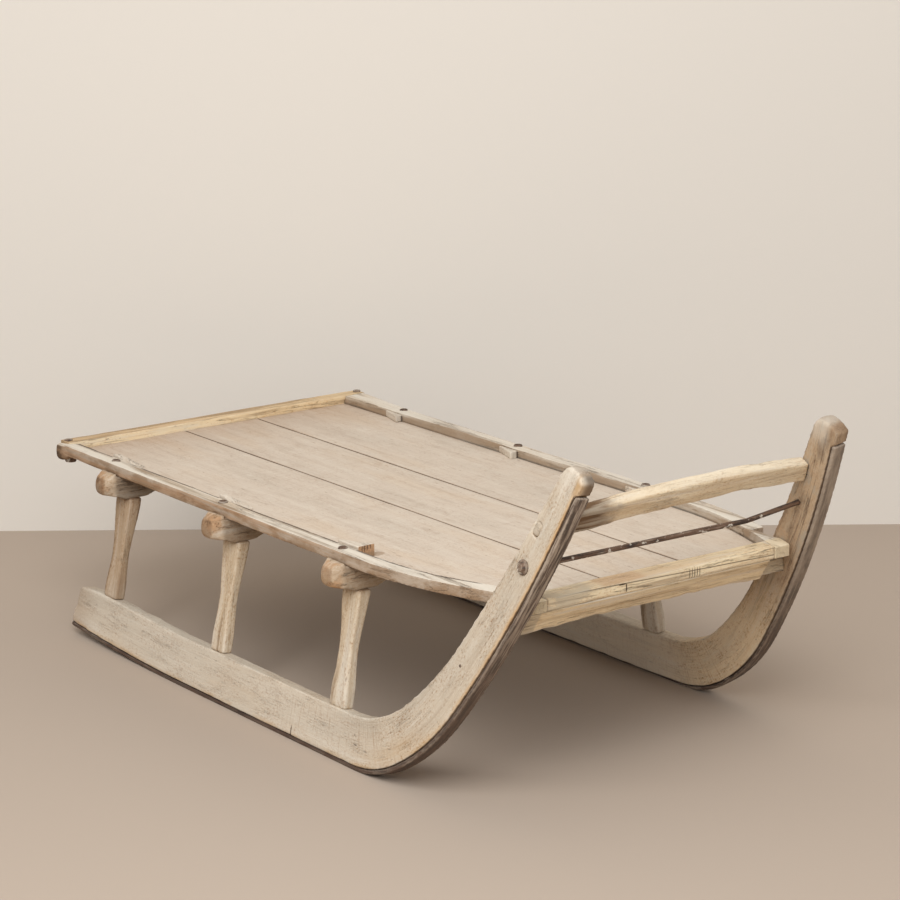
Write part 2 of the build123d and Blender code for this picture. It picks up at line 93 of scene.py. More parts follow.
class SleighColours(bpy.types.PropertyGroup):
    """The colours of the woods and irons."""
    deck: a_colour("Deck", "Scrubbed deck boards", 212, 197, 179)
    rail: a_colour("Rails", "Rim of rails round the deck", 212, 199, 181)
    runner: a_colour("Runners", "Runner planks", 209, 194, 172)
    # far_runner: paler than the runner colour, partly painted light on the far runner in the
    # deck's shade
    far_runner: a_colour("Left runner", "Fresher left runner", 232, 208, 172)
    post: a_colour("Posts", "Posts under the deck", 209, 190, 162)
    bolster: a_colour("Bolsters", "Cross timbers", 196, 174, 147)
    beam: a_colour("Crossbeam", "Beam and rail across the front", 246, 226, 188)
    bar: a_colour("Crossbar", "Bowed bar between the horns", 233, 214, 181)
    peg: a_colour("Pegs", "Dark end grain of the pegs", 120, 101, 88)
    # brown also stands for painted shade at the deck seams and low on the ribbed chock's ends
    brown: a_colour("Brown stain", "Old stain in the grain", 150, 122, 94)
    # dark also stands for painted shade: the boards' sides and undersides, the rails' inner
    # edges, under the rails on the bolsters, the left chocks' ends, the wood above the straps,
    # and partly the far horn and the right horn's bare tip
    dark: a_colour("Dirt", "Dirt in the splits and corners", 78, 60, 46)
    gold: a_colour("Gold stain", "Resin-yellow wood along worn edges", 208, 170, 118)
    orange: a_colour("Orange stain", "Orange wood under the weathering", 180, 134, 92)
    fresh: a_colour("Fresh spots", "Paler orange of freshly worn spots", 190, 146, 108)
    # bleached also stands for painted light on the far runner and, partly, a painted highlight
    # on the horns' tips
    bleached: a_colour("Bleached wood", "Palest weathered wood", 228, 219, 203)
    grey: a_colour("Silvered wood", "Grey weathered wood", 168, 158, 142)
    rust: a_colour("Rust", "Rusted iron", 86, 64, 51)
    rod: a_colour("Rod", "Brown iron of the tie rod", 108, 82, 64)
    # scale also stands for painted shade along the straps' top edges
    scale: a_colour("Iron", "Dark bare iron", 58, 46, 39)
    dust: a_colour("Dust", "Pale dust on the iron", 172, 155, 136)


class SleighStage(bpy.types.PropertyGroup):
    """The floor, the wall and the lamps."""
    floor: a_colour("Floor", "Colour of the floor", 186, 170, 154)
    wall: a_colour("Wall", "Colour of the wall", 232, 225, 214)
    air: a_colour("Room", "Colour of the light all round", 235, 236, 240)
    sky: FloatProperty(name="Room light", description="Strength of the light all round",
                       default=0.66, min=0.0, max=2.0)
    key: FloatProperty(name="Key lamp", description="Power of the large soft lamp",
                       default=150.0, min=0.0, unit="POWER")


def wear():
    return bpy.context.scene.sleigh_wear


def rgba(colour, factor=1.0):
    return (*(c * factor for c in colour), 1.0)


def hue(name, factor=1.0):
    """One of the sleigh's colours, brightened by a factor, as a socket takes it."""
    return rgba(getattr(bpy.context.scene.sleigh_colours, name), factor)


def clamp(share):
    return min(1.0, max(0.0, share))


def stand(place, way):
    """The matrix that stands a thing at a place, with its z axis this way."""
    return Matrix.Translation(place) @ way.to_track_quat("Z", "Y").to_matrix().to_4x4()


# --- shaping timber ---


class Run:
    """A line in a plane with bends in it: legs of (length, 0) or (radius, sweep)."""

    def __init__(self, start, heading, legs):
        self.legs = []
        at, along = Vector(start), 0.0
        for size, sweep in legs:
            turn = radians(sweep)
            ahead = Vector((cos(heading), sin(heading)))
            aside = Vector((-ahead.y, ahead.x))
            length = size * turn if sweep else size
            hub = at + aside * size if sweep else None
            self.legs.append((at.copy(), ahead, aside, length, hub, size, along))
            if sweep:
                at = hub + Matrix.Rotation(turn, 2) @ (at - hub)
                heading += turn
            else:
                at = at + ahead * length
            along += length

    def place(self, x, y):
        """How far along the line a point lies, and how far to its left."""
        point, best = Vector((x, y)), None
        for number, (at, ahead, aside, length, hub, size, along) in enumerate(self.legs):
            if hub is None:
                far = (point - at).dot(ahead)
                off = (point - at).dot(aside)
            else:
                spoke, first = point - hub, at - hub
                far = -first.angle_signed(spoke) * size if spoke.length else 0.0
                off = size - spoke.length
            before = max(0.0, -far) if number else 0.0
            past = max(0.0, far - length) if number < len(self.legs) - 1 else 0.0
            miss = before + past + abs(off) * 1e-3
            if best is None or miss < best[0]:
                best = (miss, along + far, off)
        return best[1], best[2]


def shape_of(node):
    """A merged copy of a CAD node, with its flat faces whole again."""
    bm = bmesh.new()
    bm.from_mesh(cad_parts[node].data)
    bmesh.ops.remove_doubles(bm, verts=bm.verts, dist=MERGE)
    bmesh.ops.dissolve_limit(bm, angle_limit=FLAT, verts=bm.verts, edges=bm.edges)
    return bm


def ease(bm, width, segments=3, choose=None):
    """Rounds the outward corners."""
    edges = [e for e in bm.edges if e.is_manifold
             and e.calc_face_angle_signed() > CORNER and (not choose or choose(e))]
    bmesh.ops.bevel(bm, geom=edges, offset=width, offset_type="OFFSET", segments=segments,
                    profile=0.5, affect="EDGES", material=-1, clamp_overlap=True)


def slice_up(bm, pitches):
    """Cuts the surface along x, y and z at these pitches, so that it can be shaped."""
    for axis, pitch in enumerate(pitches):
        if not pitch:
            continue
        low = min(v.co[axis] for v in bm.verts)
        high = max(v.co[axis] for v in bm.verts)
        count = int((high - low) / pitch)
        normal = Vector((0, 0, 0))
        normal[axis] = 1
        for number in range(1, count + 1):
            at = low + (high - low) * number / (count + 1)
            near = [f for f in bm.faces if min(v.co[axis] for v in f.verts) < at
                    < max(v.co[axis] for v in f.verts)]
            geom = {e for f in near for e in f.edges} | {v for f in near for v in f.verts}
            bmesh.ops.bisect_plane(bm, geom=near + list(geom), dist=1e-6,
                                   plane_co=normal * at, plane_no=normal)


def even_out(bm, size):
    """Remakes the skin of small even faces, so that it can be carved anywhere."""
    mesh = bpy.data.meshes.new("blank")
    bm.to_mesh(mesh)
    blank = bpy.data.objects.new("blank", mesh)
    bpy.context.scene.collection.objects.link(blank)
    skin = blank.modifiers.new("skin", "REMESH")
    skin.mode = "VOXEL"
    skin.voxel_size = size
    evened = bpy.data.meshes.new_from_object(
        blank.evaluated_get(bpy.context.evaluated_depsgraph_get()))
    bm.clear()
    bm.from_mesh(evened)
    bpy.data.objects.remove(blank)
    bpy.data.meshes.remove(mesh)
    bpy.data.meshes.remove(evened)


def soften(bm, where, passes):
    """Wears a region round: where says how far each point takes part, 0 to 1."""
    for share in (0.25, 0.5, 0.75):
        chosen = [v for v in bm.verts if where(v.co) > share]
        for _ in range(passes):
            bmesh.ops.smooth_vert(bm, verts=chosen, factor=0.5, use_axis_x=True,
                                  use_axis_y=True, use_axis_z=True)


# how fine each carved pattern is along, across and through the grain, and the step between
# the patterns of two pieces
SWAY, RIDGES, DENTS = (4.0, 16, 16), (9, 75, 75), (28, 45, 45)
APART = (7.3, 3.1, 1.7)
BULGE, BULGE_SPAN = 0.05, 0.12    # where a corner starts to count as worn, and its span
END_FACE = 0.6            # and a face as end grain, which is full at 0.8
DENT_FROM = 0.15          # and the noise as a dent


def ripple(place, fineness, shift):
    """Noise over a place in the grain."""
    return noise.noise(Vector([p * f for p, f in zip(place, fineness)]) + shift)


def carve(bm, grain, sway, ridge, seed, lift=None):
    """Gives a timber its uneven faces and raised grain, and notes what its paint follows.

    The grain is two functions: how a point lies along, across and through it, and its
    direction there. A lift is a further move of each point, along x, y and z.
    """
    lies, way = grain
    place = bm.verts.layers.float_vector.new("grain")
    worn = bm.verts.layers.float.new("worn")
    ends = bm.verts.layers.float.new("ends")
    top = bm.verts.layers.float.new("top")
    bm.normal_update()
    shift = Vector([seed * step for step in APART])
    moves = []
    for vert in bm.verts:
        at = vert[place] = lies(vert.co)
        normal = vert.normal
        edges = vert.link_edges
        reach = sum(e.calc_length() for e in edges) / len(edges)
        around = sum((e.other_vert(vert).co for e in edges), Vector()) / len(edges)
        bulge = (vert.co - around).dot(normal) / reach
        vert[worn] = clamp((bulge - BULGE) / BULGE_SPAN)
        vert[ends] = clamp((abs(normal.dot(way(vert.co))) - END_FACE) * 5)
        vert[top] = normal.z
        dent = max(0.0, ripple(at, DENTS, -shift) - DENT_FROM)
        move = normal * (ripple(at, SWAY, shift) * sway
                         + ripple(at, RIDGES, shift) * ridge * (1 - vert[ends])
                         - dent * sway * (0.4 + 1.5 * vert[worn]))
        moves.append(move + lift(vert.co) if lift else move)
    for vert, move in zip(bm.verts, moves):
        vert.co += move


def make_object(bm, name, material):
    """Makes an object of a shape."""
    mesh = bpy.data.meshes.new(name)
    bm.to_mesh(mesh)
    bm.free()
    mesh.materials.append(material)
    made = bpy.data.objects.new(name, mesh)
    bpy.context.scene.collection.objects.link(made)
    return made


def piece(bm, name, material, slot):
    """Makes a piece that rides on the sleigh, in a CAD node's place if it has its name."""
    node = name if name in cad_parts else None
    bmesh.ops.triangulate(bm, faces=[f for f in bm.faces if len(f.verts) > 4])
    made = make_object(bm, "worn_" + name if node else name, material)
    made.data.shade_smooth()
    made.data.set_sharp_from_angle(angle=CREASE)
    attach(made, "root")
    if node:
        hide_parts(node)


def timber(node, size, grain, material, slot, seed, rounding=None, sway=1.0, ridge=1.0,
           before=None, choose=None):
    """A timber in a CAD node's place: eased, skinned evenly, worn and carved."""
    bm = shape_of(node)
    ease(bm, wear().edge if rounding is None else rounding, choose=choose)
    even_out(bm, size)
    lift = before(bm) if before else None
    carve(bm, grain, wear().sway * sway, wear().ridge * ridge, seed, lift)
    piece(bm, node, material, slot)


# --- shader maths ---


class Value:
    """A number that varies over a surface. Sums and products add Math nodes."""

    def __init__(self, paint, socket):
        self.paint = paint
        self.socket = socket

    def __add__(self, other):
        return self.paint.math("ADD", self, other)

    def __sub__(self, other):
        return self.paint.math("SUBTRACT", self, other)

    def __rsub__(self, other):
        return self.paint.math("SUBTRACT", other, self)

    def __mul__(self, other):
        return self.paint.math("MULTIPLY", self, other)

    def __abs__(self):
        return self.paint.math("ABSOLUTE", self)

    __radd__ = __add__
    __rmul__ = __mul__

    def between(self, low, high):
        """0 at low, 1 at high, and smooth between them."""
        return self.paint.add("ShaderNodeMapRange", {"interpolation_type": "SMOOTHSTEP"},
                              {"Value": self, "From Min": low, "From Max": high})

    def near(self, middle, reach):
        """1 at the middle, falling to 0 at this reach from it."""
        return abs(self - middle).between(reach, 0.0)

    def within(self, low, high, blur):
        """1 between two numbers, and 0 outside them."""
        return self.between(low - blur, low + blur) * self.between(high + blur, high - blur)


class Paint:
    """One material and its nodes."""

    def __init__(self, name):
        self.material = bpy.data.materials.new(name)
        self.material.use_nodes = True
        self.tree = self.material.node_tree
        self.tree.nodes.clear()

    def add(self, kind, settings=None, inputs=None, output=0):
        """Adds a node, with its settings first and then its inputs, and returns an output."""
        node = self.tree.nodes.new(kind)
        for key, value in (settings or {}).items():
            setattr(node, key, value)
        for key, value in (inputs or {}).items():
            socket = node.inputs[key]
            if isinstance(value, Value):
                self.tree.links.new(value.socket, socket)
            else:
                socket.default_value = value
        return Value(self, node.outputs[output])

    def math(self, operation, *values):
        return self.add("ShaderNodeMath", {"operation": operation}, dict(enumerate(values)))

    def noted(self, name, vector=False):
        """What the shape's points note under this name."""
        return self.add("ShaderNodeAttribute", {"attribute_name": name},
                        output=1 if vector else 2)

    def place(self):
        """Where the surface lies on the sleigh, in metres."""
        return self.add("ShaderNodeTexCoord", None, output=3)

    def parts(self, vector):
        made = self.add("ShaderNodeSeparateXYZ", None, {0: vector})
        return [Value(self, made.socket.node.outputs[n]) for n in range(3)]

    def vectors(self, operation, *values, output=0):
        return self.add("ShaderNodeVectorMath", {"operation": operation},
                        dict(enumerate(values)), output)

    def mix(self, base, other, amount, way="MIX"):
        """One colour over another, or multiplied into it."""
        return self.add("ShaderNodeMix", {"data_type": "RGBA", "clamp_factor": True,
                                          "blend_type": way},
                        {0: amount, 6: base, 7: other}, output=2)

    def close(self, surface):
        node = self.tree.nodes.new("ShaderNodeOutputMaterial")
        self.tree.links.new(surface.socket, node.inputs["Surface"])
        return self.material


class Weathered(Paint):
    """Layers of the sleigh's colours, following what a piece notes of its grain and wear."""

    def __init__(self, name, base, shift):
        super().__init__(name)
        self.grain = self.noted("grain", vector=True)
        self.worn = self.noted("worn")
        self.ends = self.noted("ends")
        self.along, self.across, self.through = self.parts(self.grain)
        self.shift = shift
        self.colour = hue(base)

    def pattern(self, fineness, detail=3.0, rough=0.55, twist=0.0, shift=None):
        """Soft noise in the grain, as fine as this along, across and through it."""
        where = self.vectors("MULTIPLY_ADD", self.grain, fineness, shift or self.shift)
        return self.add("ShaderNodeTexNoise", None,
                        {"Vector": where, "Scale": 1.0, "Detail": detail,
                         "Roughness": rough, "Distortion": twist})

    def lay(self, name, amount):
        """Lays one of the sleigh's colours over the surface."""
        self.colour = self.mix(self.colour, hue(name), amount)

    def stain(self, name, factor, amount):
        """Stains the surface with a brightened colour."""
        self.colour = self.mix(self.colour, hue(name, factor), amount, "MULTIPLY")

    def done(self):
        """The surface itself, with its relief in metres."""
        bump = self.add("ShaderNodeBump", None, {"Height": self.height, "Strength": 1.0,
                                                 "Distance": self.relief})
        return self.close(self.add("ShaderNodeBsdfPrincipled", None,
                                   {"Base Color": self.colour, "Roughness": self.rough,
                                    "Normal": bump, "Specular IOR Level": self.gloss}))


class Wood(Weathered):
    """Old dry wood. It holds its patterns, so that a piece can add marks of its own."""
    relief, gloss = 0.0014, 0.22

    def __init__(self, name, base, seed, **figure):
        super().__init__(name, base, (seed * 1.37, seed * 0.73, seed * 2.11))
        self.top = self.noted("top")
        self.broad = self.pattern((2.6, 11.0, 11.0))
        self.streaks = self.pattern((3.4, 62.0, 62.0), 4.0, 0.6, 0.3)
        self.fibres = self.pattern((11.0, 380.0, 380.0), 3.0, 0.7)
        self.blotches = self.pattern((13.0, 30.0, 30.0), 5.0, 0.65)
        self.pores = self.pattern((60.0, 200.0, 200.0), 2.0)
        self.speckle = self.pattern((170.0, 290.0, 290.0), 3.0, 0.7)
        self.height = (self.streaks * 0.35 + self.fibres * 0.4 + self.blotches * 0.4
                       + self.speckle * 0.5 - self.pores.between(0.66, 0.74) * 0.25)
        self.rough = self.fibres * 0.2 + 0.74
        self.weather(**figure)

    def weather(self, contrast=1.0, gold=0.2, silver=0.2, blots=0.3, flecks=0.4,
                splits=0.6, mottle=0.3):
        """The figure of the grain, its stains, splits, pores, worn edges and ends."""
        self.lay("bleached", self.streaks.between(0.5, 0.3) * 0.6 * contrast)
        self.lay("brown", self.streaks.between(0.52, 0.74) * 0.5 * contrast)
        self.lay("gold", self.broad.between(0.5, 0.7) * gold)
        self.lay("grey", self.broad.between(0.5, 0.3) * silver)
        self.lay("brown", self.blotches.between(0.57, 0.76) * blots)
        self.stain("brown", 1.7, self.fibres.between(0.5, 0.75) * 0.5 * contrast)
        patchy = self.blotches.between(0.36, 0.6) * mottle
        self.stain("brown", 1.9, self.speckle.between(0.5, 0.7) * patchy)
        self.lay("bleached", self.speckle.between(0.47, 0.33) * mottle * 0.4)
        shakes = self.streaks.near(0.53, 0.014) * self.blotches.between(0.44, 0.58) * splits
        self.lay("dark", shakes * 0.75)
        self.stain("dark", 2.2, self.pores.between(0.67, 0.76) * flecks)
        self.lay("bleached", self.worn * self.blotches.between(0.6, 0.35) * 0.55)
        ring = self.rings((1.0, 260.0, 260.0))
        self.stain("brown", 1.5, self.ends * (ring * 0.35 + 0.35))
        self.height = self.height - shakes * 1.3 - ring * self.ends * 0.3

    def rings(self, fineness):
        """Growth rings round the grain."""
        where = self.vectors("MULTIPLY_ADD", self.grain, fineness, self.shift)
        return self.add("ShaderNodeTexWave",
                        {"wave_type": "RINGS", "rings_direction": "X", "wave_profile": "SAW"},
                        {"Vector": where, "Scale": 1.0, "Distortion": 2.5, "Detail": 3.0,
                         "Detail Scale": 1.5})

    def saw(self, amount):
        """The marks of the saw, across the grain."""
        marks = self.pattern((330.0, 16.0, 16.0), 3.0, 0.65)
        self.stain("brown", 1.9, marks.between(0.52, 0.74) * amount)
        self.height = self.height + marks * 0.25 * amount

    def waves(self, fineness, amount):
        """Brown waves along the grain, on the timbers across the front."""
        waves = self.pattern((5.0, fineness, fineness), 3.0, 0.5, 1.2)
        self.lay("brown", waves.between(0.56, 0.66) * amount)

    def mark(self, place, size, amount, colour="dark"):
        """A small rough-edged sunken mark at a place on the sleigh, with its half sizes."""
        off = self.vectors("SUBTRACT", self.place(), place)
        share = self.vectors("MULTIPLY", off, tuple(1 / s for s in size))
        far = self.vectors("LENGTH", share, output=1)
        mask = (far + self.pores * 0.5).between(1.4, 1.0) * amount
        self.lay(colour, mask)
        self.height = self.height - mask * 0.6

    def facing(self):
        """The way the surface faces, along x, y and z."""
        return self.parts(self.add("ShaderNodeNewGeometry", output=1))


class Iron(Weathered):
    """Forged iron, rusted and drawn out along its length, with pale dust in its pits."""
    relief, gloss = 0.0012, 0.4

    def __init__(self, name, base, dust, seed):
        super().__init__(name, base, (seed, seed * 0.7, seed * 1.9))
        self.coarse = self.pattern((18.0, 60.0, 60.0), 5.0, 0.65)
        self.drawn = self.pattern((12.0, 190.0, 190.0), 4.0, 0.65)
        fine = self.pattern((60.0, 260.0, 260.0), 4.0, 0.7)
        self.lay("scale", self.coarse.between(0.48, 0.68))
        self.lay("scale", self.drawn.between(0.5, 0.6) * 0.85)
        self.lay("dust", self.drawn.between(0.47, 0.33) * dust)
        self.lay("dust", fine.between(0.58, 0.74) * dust)
        self.lay("dust", self.worn * self.coarse.between(0.35, 0.6) * 0.5)
        self.height = self.coarse * 0.6 + fine * 0.5 + self.drawn * 0.4
        self.rough = fine * 0.35 + 0.52


# --- grain: how a point lies along, across and through it, and which way it runs ---


def always(way):
    way = Vector(way).normalized()
    return lambda co: way


LENGTHWAYS = (lambda co: (co.x, co.y, co.z), always((1, 0, 0)))
CROSSWAYS = (lambda co: (co.y, co.x, co.z), always((0, 1, 0)))
UPRIGHT = (lambda co: (co.z, co.x, co.y), always((0, 0, 1)))

# A runner's lower edge, up the plank from the heel: its rocker, its sole and its bends.
ROCKER = (5.3, 4.7)
SOLE = (0.527, 0)
BENDS = ((0.237, 30.3), (0.451, 23.7), (1.992, 13.6))
HEEL_AT = (-0.6843, 0.0258)
RUNNER_LINE = Run(HEEL_AT, -radians(ROCKER[1]), (ROCKER, SOLE, *BENDS))
BEND_START = ROCKER[0] * radians(ROCKER[1]) + SOLE[0]
HORN_START = BEND_START + sum(size * radians(turn) for size, turn in BENDS[:2])
STRAP_END = HORN_START + BENDS[2][0] * radians(BENDS[2][1])
STEPS = tuple(Matrix.Identity(3).col[n] * 1e-3 for n in range(3))


def up_the_plank(co):
    """Grain of a runner, which bends up with the horn."""
    side = 1 if co.y > 0 else -1
    inward = HALF_TRACK - side * co.y
    height = co.z * cos(LEAN) + inward * sin(LEAN)
    along, off = RUNNER_LINE.place(co.x, height)
    return (along, off, inward * cos(LEAN) - co.z * sin(LEAN))


def plank_way(co, axis=0):
    """The way that grain runs at a point, or the way across it with an axis of 1."""
    here = up_the_plank(co)[axis]
    return Vector([up_the_plank(co + step)[axis] - here for step in STEPS]).normalized()


PLANK = (up_the_plank, plank_way)


class SleighMaker:
    """What the sleigh's operators share."""
    bl_options = {"REGISTER", "UNDO"}


# --- runners and shoes ---

TIP_WEAR = 0.026          # how far down the horns' tips are worn round
TIP_CROWN = STRAP_END + 0.03         # where their crowns start, up the plank
HEEL_WEAR = 0.012         # over what length the heels are worn round
HEEL_REAR, HEEL_SOLE = -0.6584, 0.055    # where that starts, and the height it stays above
FLUSH = 0.006             # how far the bare tip comes forward, level with the strap
FLUSH_START, FLUSH_DEPTH = 0.004, 0.03    # over what length and depth that comes about
TENON_AT = (0.691, 0.297, 0.508)    # where the crossbar's tenon comes through a horn
TENON_CLEAR = 0.03        # no corner is rounded this close to it
NAIL_AT, NAIL_SIZE = (0.5387, -0.3412, 0.245), 0.0028
NAIL_DOME = 0.4           # height of its head for its radius
STRAP_TIP = 0.009         # the strap's end is rounded this far down
# marks on the runners, by side: place, half sizes, strength and any colour
RUNNER_MARKS = {-1: (((0.092, -0.3795, 0.0145), (0.0016, 0.02, 0.012), 0.8),
                     ((0.2835, -0.375, 0.044), (0.006, 0.02, 0.0014), 0.55),
                     ((0.3132, -0.3751, 0.040), (0.005, 0.02, 0.0014), 0.4),
                     ((0.279, -0.3717, 0.060), (0.002, 0.02, 0.002), 0.4),
                     ((-0.656, -0.358, 0.107), (0.014, 0.012, 0.006), 0.7)),
                1: (((0.632, 0.32, 0.424), (0.03, 0.03, 0.014), 0.5, "fresh"),
                    ((0.618, 0.32, 0.38), (0.026, 0.03, 0.024), 0.5, "fresh"),
                    ((0.664, 0.305, 0.50), (0.012, 0.03, 0.016), 0.35, "fresh"))}


def runner_wood(name, side):
    """A plank's wood: plain and pale, sawn across at the bend, golden along its edges."""
    wood = Wood("runner_timber_" + name, "runner" if side < 0 else "far_runner", side + 2,
                contrast=0.65, gold=0.3, silver=0.35, blots=0.45, splits=0.22, mottle=0.8)
    along, edge = wood.along, wood.across
    wood.saw(along.within(BEND_START - 0.24, BEND_START + 0.16, 0.05) * 0.5 + 0.1)
    horn = along.between(HORN_START - 0.05, HORN_START + 0.2)
    flat = along.between(BEND_START + 0.1, BEND_START - 0.1)
    # paler straight part; on the far runner this is painted light in the deck's shade
    wood.lay("bleached", flat * (0.25 if side < 0 else 0.55))
    if side < 0:
        edge_blots = wood.blotches.between(0.38, 0.58)
        wood.lay("gold", edge.between(0.012, 0.0) * edge_blots * 0.55)
        bound = horn * along.between(STRAP_END + 0.003, STRAP_END - 0.003)
        wood.lay("gold", bound * edge.between(0.009, 0.003) * 0.55)
        wood.lay("orange", bound * edge.between(0.005, 0.001) * edge_blots * 0.65)
    else:
        # the far horn browner and greyer: stain, partly painted shade on its down-turned inner
        # face
        wood.stain("brown", 1.3, horn * (wood.broad.between(0.62, 0.4) * 0.4 + 0.5))
        wood.lay("grey", horn * 0.3)
        wood.lay("grey", horn * wood.blotches.between(0.48, 0.36) * 0.6)
        wood.lay("dark", horn * wood.blotches.between(0.52, 0.64) * 0.3)
        wood.lay("dark", horn * wood.streaks.near(0.53, 0.025) * 0.5)
        crown = along.between(TIP_CROWN - 0.03, TIP_CROWN)
        wood.lay("brown", crown * wood.blotches.between(0.4, 0.56) * 0.6)
    # a pale bare tip, partly a painted highlight; the lower roughness set below gives the real
    # gloss
    tip = along.between(STRAP_END - 0.03, STRAP_END + 0.02)
    wood.lay("bleached", tip * edge.between(0.004, 0.02) * 0.45)
    bare = along.between(STRAP_END - 0.003, STRAP_END + 0.003) * edge.between(0.01, 0.001)
    wood.lay("brown", bare * (0.5 if side < 0 else 0.15))
    if side < 0:
        wood.lay("gold", bare * wood.through.between(0.01, 0.003) * 0.5)
        # the right horn's crown bleached: partly a painted highlight
        wood.lay("bleached", bare * along.between(TIP_CROWN - 0.012, TIP_CROWN) * 0.6)
        # dark deeper into the bare tip: brown stain, partly painted shade on its rounded front
        wood.lay("dark", bare * wood.through.between(0.005, 0.016) * 0.65)
    # painted shade: a dark line along the wood's lower edge, in the joint on the strap
    gap = along.between(STRAP_END, STRAP_END - 0.004)
    wood.lay("dark", edge.between(0.003, 0.001) * gap * 0.9)
    wood.stain("brown", 1.6, along.between(0.10, 0.0) * 0.35)
    wood.rough = wood.rough - tip * 0.3
    for mark in RUNNER_MARKS[side]:
        wood.mark(*mark)
    return wood.done()


class SLEIGH_OT_runners(SleighMaker, bpy.types.Operator):
    """Build the two runner planks, bent up into horns"""
    bl_idname = "sleigh.runners"
    bl_label = "Runners"

    def execute(self, context):
        for name, side in SIDES.items():
            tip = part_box("runner_" + name)[1][2]
            tenon = Vector((TENON_AT[0], side * TENON_AT[1], TENON_AT[2]))
            timber("runner_" + name, COARSE, PLANK, runner_wood(name, side), "runner_wood",
                   side + 4, ridge=0.7,
                   choose=lambda e: (e.verts[0].co - tenon).length > TENON_CLEAR,
                   before=lambda bm: self.round_off(bm, tip))
        bm = bmesh.new()
        bmesh.ops.create_uvsphere(bm, u_segments=16, v_segments=8, radius=NAIL_SIZE)
        bmesh.ops.scale(bm, vec=(1, 1, NAIL_DOME), verts=bm.verts)
        out = Vector((0, -cos(LEAN), sin(LEAN)))
        bmesh.ops.transform(bm, matrix=stand(NAIL_AT, out), verts=bm.verts)
        carve(bm, (UPRIGHT[0], always(out)), 0.0, 0.0, 1)
        piece(bm, "horn_nail", Iron("nail_iron", "rust", 0.2, 6.0).done(), "rod_iron")
        return {"FINISHED"}

    def round_off(self, bm, tip):
        """Brings the tip's front flush with the strap, and wears tip and heel round."""
        for vert in bm.verts:
            along, off, _ = up_the_plank(vert.co)
            share = clamp((along - STRAP_END) / FLUSH_START)
            share *= clamp(1 - off / FLUSH_DEPTH)
            if share:
                vert.co -= plank_way(vert.co, 1) * FLUSH * share
        soften(bm, lambda co: (co.z - tip) / TIP_WEAR + 1, 11)
        soften(bm, lambda co: (HEEL_REAR - co.x) / HEEL_WEAR if co.z > HEEL_SOLE else 0, 6)


def shoe_iron(name, side):
    """A strap's iron, dusty up the horn."""
    iron = Iron("shoe_strap_" + name, "rust", 0.12 if side < 0 else 0.6, side + 3)
    horn = iron.along.between(HORN_START - 0.03, HORN_START + 0.3)
    if side < 0:
        iron.lay("dust", horn * iron.drawn.between(0.57, 0.4) * 0.9)
    else:
        iron.lay("dust", horn * (iron.coarse.between(0.66, 0.34) * 0.6 + 0.4))
    iron.lay("dust", iron.along.between(BEND_START - 0.1, HORN_START) * 0.12)
    # painted shade: dark along the strap's top edge, in the joint under the wood
    iron.lay("scale", iron.across.between(-0.0025, -0.0002) * 0.55)
    return iron.done()


class SLEIGH_OT_shoes(SleighMaker, bpy.types.Operator):
    """Build the iron shoes under the runners"""
    bl_idname = "sleigh.shoes"
    bl_label = "Shoes"

    def execute(self, context):
        for name, side in SIDES.items():
            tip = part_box("shoe_" + name)[1][2]
            timber("shoe_" + name, FINE, PLANK, shoe_iron(name, side), "shoe_iron", side + 9,
                   rounding=wear().iron_edge, sway=0.3, ridge=0.5,
                   before=lambda bm: soften(bm, lambda co: (co.z - tip) / STRAP_TIP + 1, 3))
        return {"FINISHED"}


# --- posts and bolsters ---

POST_ENDS = ((-1, 0.08), (0.31, 1))    # the heights between which a post's tenons end
POST_FOOT, POST_SPAN = 0.115, 0.185    # where a post leaves its runner, and its rise
POST_HALF_WIDTH, POST_HALF_DEPTH = 0.014, 0.008    # of what is hollowed evenly
POST_SPARE = 0.0024       # what the rounding takes off a post's sides
HEAD_NECK = 0.358         # where the bolsters' heads start
HEAD_WEAR = 0.012         # over what length they are worn round
HEAD_SPARE = 0.007        # what that takes off a head's end


def post_wood():
    """The posts' wood, browner at the feet and on the rear posts."""
    wood = Wood("post_timber", "post", 3.0, contrast=1.1, silver=0.3, blots=0.55, splits=0.4,
                mottle=0.8)
    rise = wood.parts(wood.place())[2]
    wood.stain("brown", 1.5, wood.along.between(1.6, 1.4) * 0.45)
    wood.lay("bleached", rise.between(0.16, 0.10) * wood.blotches.between(0.7, 0.4) * 0.3)
    wood.lay("brown", rise.between(0.18, 0.13) * wood.streaks.between(0.45, 0.6) * 0.7)
    wood.stain("brown", 1.2, rise.between(0.285, 0.30) * 0.5)
    wood.lay("brown", wood.along.between(1.3, 1.0)
             * rise.between(0.18, 0.30) * wood.streaks.between(0.62, 0.3) * 0.8)
    return wood.done()


